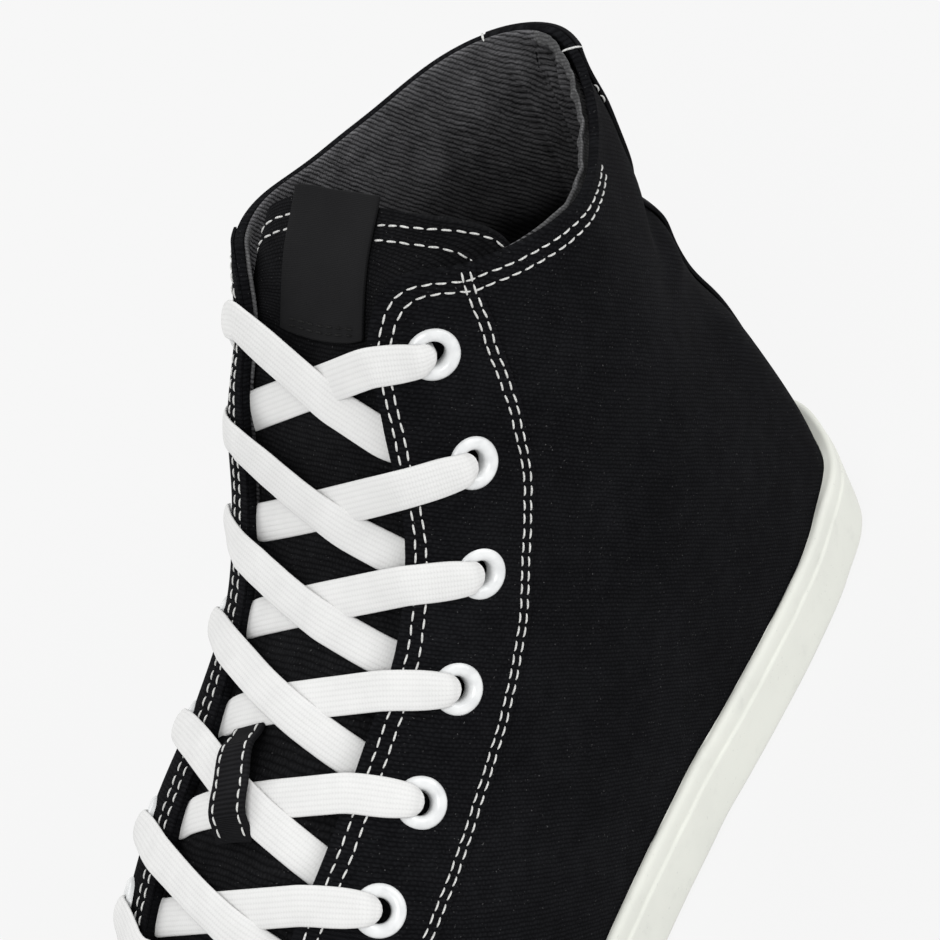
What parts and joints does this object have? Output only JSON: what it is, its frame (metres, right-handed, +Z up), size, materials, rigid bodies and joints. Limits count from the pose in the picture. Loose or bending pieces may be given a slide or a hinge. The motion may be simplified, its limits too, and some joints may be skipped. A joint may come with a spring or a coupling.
{
  "type": "high top sneaker",
  "caption": "Left high top canvas sneaker with a laced front, tongue label, open collar and rubber sidewall, standing empty on its sole.",
  "frame": {"origin": "on the floor, at the middle of the shoe's length and width", "axes": "toe towards -X, heel towards +X, lateral (outer) side towards -Y, medial side towards +Y, +Z up"},
  "size_m": [0.2915, 0.0999, 0.1631],
  "materials": {
    "black_canvas": "matt cotton canvas",
    "black_webbing": "matt woven tape",
    "black_satin": "soft sheen woven label",
    "grey_lining": "matt twill",
    "white_lace": "matt flat woven cotton",
    "white_enamel": "glossy enamel",
    "off_white_rubber": "smooth, slightly matt",
    "tread_rubber": "matt"
  },
  "bodies": {
    "root": {"outsole": "tread_rubber", "midsole": "off_white_rubber", "insole": "grey_lining", "upper": "black_canvas", "tongue": "black_canvas", "backstay": "black_webbing", "tongue_label": "black_satin", "lace_keeper": "black_webbing", "lace_bar": "white_lace", "lace_crossing_1": "white_lace", "lace_crossing_2": "white_lace", "lace_crossing_3": "white_lace", "lace_crossing_4": "white_lace", "lace_crossing_5": "white_lace", "lace_crossing_6": "white_lace", "eyelet_lateral_1": "white_enamel", "eyelet_medial_1": "white_enamel", "eyelet_lateral_2": "white_enamel", "eyelet_medial_2": "white_enamel", "eyelet_lateral_3": "white_enamel", "eyelet_medial_3": "white_enamel", "eyelet_lateral_4": "white_enamel", "eyelet_medial_4": "white_enamel", "eyelet_lateral_5": "white_enamel", "eyelet_medial_5": "white_enamel", "eyelet_lateral_6": "white_enamel", "eyelet_medial_6": "white_enamel", "eyelet_lateral_7": "white_enamel", "eyelet_medial_7": "white_enamel"}
  },
  "joints": []
}
